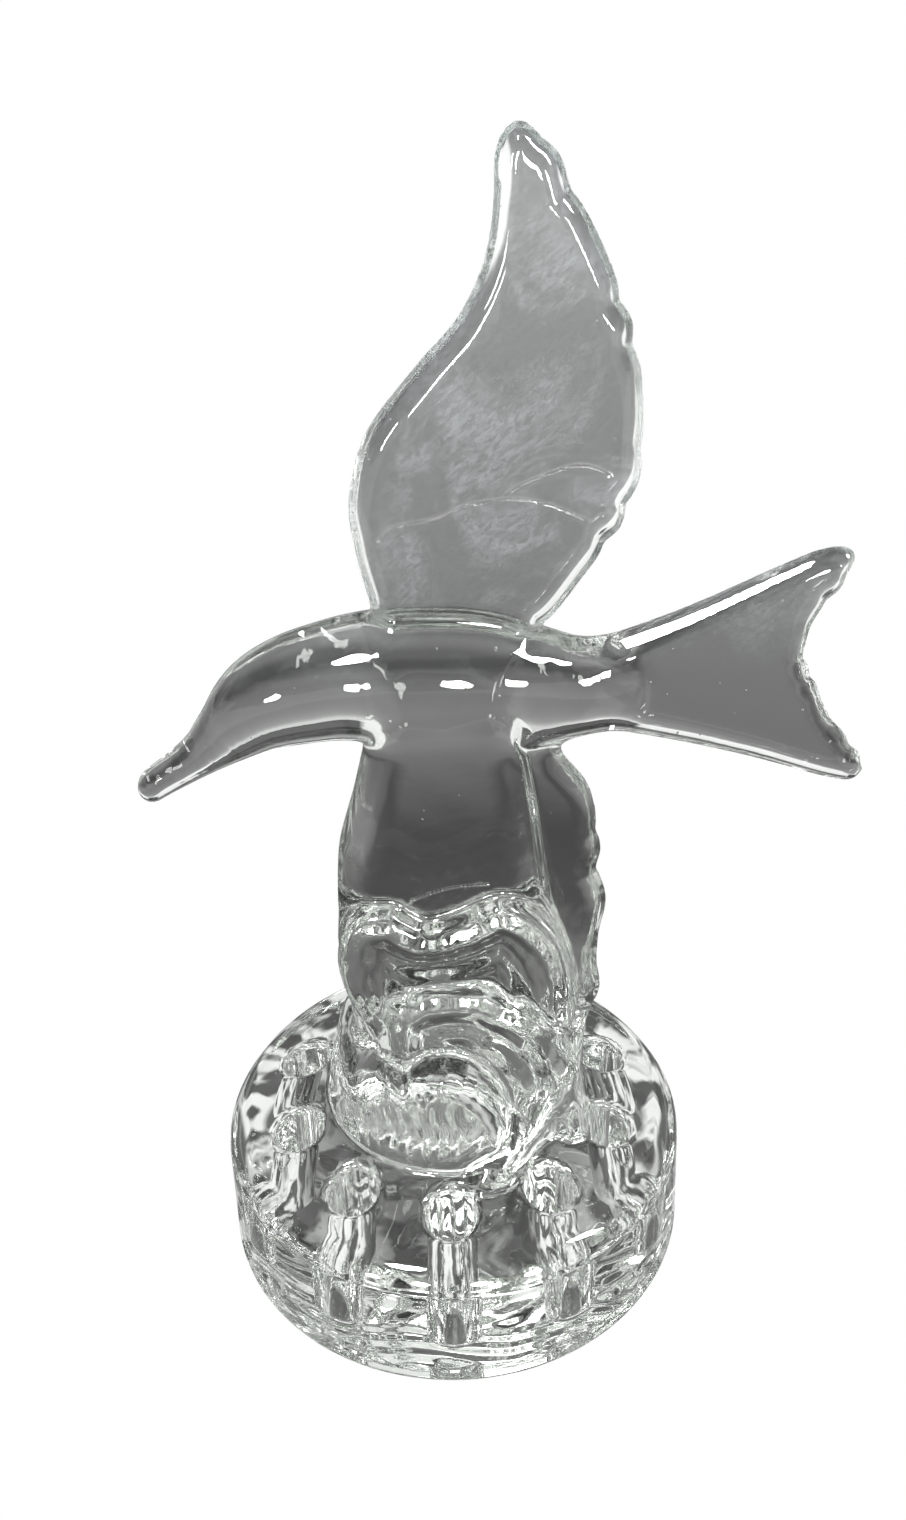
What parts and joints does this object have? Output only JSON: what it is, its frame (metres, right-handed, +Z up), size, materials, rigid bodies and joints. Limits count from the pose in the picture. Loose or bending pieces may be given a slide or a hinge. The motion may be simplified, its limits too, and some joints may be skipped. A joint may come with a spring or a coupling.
{
  "type": "flower frog",
  "caption": "Clear pressed-glass flower frog: a gull banking on one wing over stacked waves, on a thick round block with a ring of blind stem holes.",
  "frame": {"origin": "centre of the round block's flat underside", "axes": "+Z up, -X the way the bird flies, -Y the front, where the lowest wave and its curling rib are"},
  "size_m": [0.1415, 0.1012, 0.2413],
  "materials": {
    "glass": "fire-polished, clear pressed glass"
  },
  "bodies": {
    "root": {"flower_frog": "glass"}
  },
  "joints": []
}
